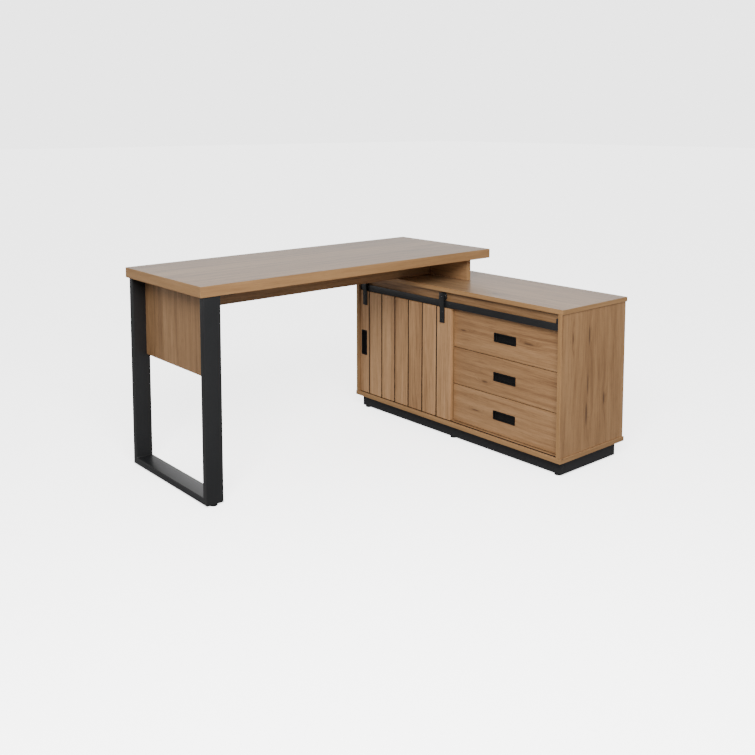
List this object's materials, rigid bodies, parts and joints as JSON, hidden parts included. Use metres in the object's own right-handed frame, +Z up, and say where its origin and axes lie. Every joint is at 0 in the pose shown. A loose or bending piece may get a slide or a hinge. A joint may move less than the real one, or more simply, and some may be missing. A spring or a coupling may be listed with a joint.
{
  "type": "corner desk",
  "caption": "L-shaped corner desk: thick oak-look top on a black steel leg and on a low cabinet with a planked sliding door on a rail and drawers.",
  "frame": {"origin": "on the floor, under the middle of the desk's outer box", "axes": "+X runs along the desk top from its steel leg to the cabinet, +Y from the sitter's edge to the far edge of the desk top, +Z up"},
  "size_m": [1.508, 1.166, 0.76],
  "materials": {
    "oak_board": "oak-look laminate on chipboard, matt",
    "black_board": "black laminate on chipboard, matt",
    "drawer_board": "white laminate on chipboard, matt",
    "back_board": "thin hardboard with printed oak face",
    "black_steel": "black powder coat, satin",
    "runner_steel": "zinc-plated steel",
    "black_plastic": "black moulded plastic"
  },
  "bodies": {
    "desk": {"desk_top": "oak_board", "leg_frame": "black_steel", "leg_end_panel": "oak_board", "apron_panel": "oak_board", "support_panel": "oak_board", "cabinet_top": "oak_board", "cabinet_bottom": "oak_board", "cabinet_side_left": "oak_board", "cabinet_side_right": "oak_board", "cabinet_partition": "oak_board", "cabinet_back": "back_board", "cabinet_shelf": "oak_board", "cabinet_header": "oak_board", "plinth_front": "black_board", "plinth_rear": "black_board", "plinth_left": "black_board", "plinth_right": "black_board", "slide_rail": "black_steel", "rail_spacer_left": "black_steel", "rail_spacer_middle": "black_steel", "rail_spacer_right": "black_steel", "rail_stop_left": "black_plastic", "rail_stop_right": "black_plastic", "runner_bottom_left": "runner_steel", "runner_bottom_right": "runner_steel", "runner_middle_left": "runner_steel", "runner_middle_right": "runner_steel", "runner_top_left": "runner_steel", "runner_top_right": "runner_steel"},
    "door": {"door_panel": "oak_board", "door_pull": "black_plastic", "hanger_strap_left": "black_steel", "hanger_strap_right": "black_steel", "roller_axle_left": "black_steel", "roller_axle_right": "black_steel", "door_guide_pin_left": "black_plastic", "door_guide_pin_right": "black_plastic"},
    "door_roller_left": {"roller_left": "black_plastic"},
    "door_roller_right": {"roller_right": "black_plastic"},
    "drawer_bottom": {"drawer_front_bottom": "oak_board", "drawer_pull_bottom": "black_plastic", "drawer_box_bottom": "drawer_board", "drawer_bottom_bottom": "drawer_board"},
    "drawer_middle": {"drawer_front_middle": "oak_board", "drawer_pull_middle": "black_plastic", "drawer_box_middle": "drawer_board", "drawer_bottom_middle": "drawer_board"},
    "drawer_top": {"drawer_front_top": "oak_board", "drawer_pull_top": "black_plastic", "drawer_box_top": "drawer_board", "drawer_bottom_top": "drawer_board"},
    "foot_front_left": {"cabinet_foot_front_left": "black_plastic"},
    "foot_front_middle": {"cabinet_foot_front_middle": "black_plastic"},
    "foot_front_right": {"cabinet_foot_front_right": "black_plastic"},
    "foot_rear_left": {"cabinet_foot_rear_left": "black_plastic"},
    "foot_rear_middle": {"cabinet_foot_rear_middle": "black_plastic"},
    "foot_rear_right": {"cabinet_foot_rear_right": "black_plastic"},
    "glide_front": {"leg_glide_front": "black_plastic"},
    "glide_rear": {"leg_glide_rear": "black_plastic"}
  },
  "joints": [
    {"name": "door_slide", "type": "slide", "parent": "desk", "child": "door", "axis": [0, 1, 0], "range_m": [-0.54, 0]},
    {"name": "roller_left_spin", "type": "hinge", "parent": "door", "child": "door_roller_left", "pos_m": [0.369, 0.523, 0.5884], "axis": [1, 0, 0], "range_deg": [0, 2070]},
    {"name": "roller_right_spin", "type": "hinge", "parent": "door", "child": "door_roller_right", "pos_m": [0.369, 0.034, 0.5884], "axis": [1, 0, 0], "range_deg": [0, 2070]},
    {"name": "drawer_bottom_slide", "type": "slide", "parent": "desk", "child": "drawer_bottom", "axis": [-1, 0, 0], "range_m": [0, 0.25]},
    {"name": "drawer_middle_slide", "type": "slide", "parent": "desk", "child": "drawer_middle", "axis": [-1, 0, 0], "range_m": [0, 0.25]},
    {"name": "drawer_top_slide", "type": "slide", "parent": "desk", "child": "drawer_top", "axis": [-1, 0, 0], "range_m": [0, 0.25]},
    {"name": "foot_front_left_turn", "type": "hinge", "parent": "desk", "child": "foot_front_left", "pos_m": [0.4, 0.542, 0.01], "axis": [0, 0, 1], "continuous": true},
    {"name": "foot_front_middle_turn", "type": "hinge", "parent": "desk", "child": "foot_front_middle", "pos_m": [0.4, -0.002, 0.01], "axis": [0, 0, 1], "continuous": true},
    {"name": "foot_front_right_turn", "type": "hinge", "parent": "desk", "child": "foot_front_right", "pos_m": [0.4, -0.542, 0.01], "axis": [0, 0, 1], "continuous": true},
    {"name": "foot_rear_left_turn", "type": "hinge", "parent": "desk", "child": "foot_rear_left", "pos_m": [0.706, 0.542, 0.01], "axis": [0, 0, 1], "continuous": true},
    {"name": "foot_rear_middle_turn", "type": "hinge", "parent": "desk", "child": "foot_rear_middle", "pos_m": [0.706, -0.002, 0.01], "axis": [0, 0, 1], "continuous": true},
    {"name": "foot_rear_right_turn", "type": "hinge", "parent": "desk", "child": "foot_rear_right", "pos_m": [0.706, -0.542, 0.01], "axis": [0, 0, 1], "continuous": true},
    {"name": "glide_front_turn", "type": "hinge", "parent": "desk", "child": "glide_front", "pos_m": [-0.709, 0.0505, 0.01], "axis": [0, 0, 1], "continuous": true},
    {"name": "glide_rear_turn", "type": "hinge", "parent": "desk", "child": "glide_rear", "pos_m": [-0.709, 0.5655, 0.01], "axis": [0, 0, 1], "continuous": true}
  ],
  "couplings": [
    {"joint": "roller_left_spin", "follows": "door_slide", "rad_per_m": -66.667},
    {"joint": "roller_right_spin", "follows": "door_slide", "rad_per_m": -66.667}
  ]
}
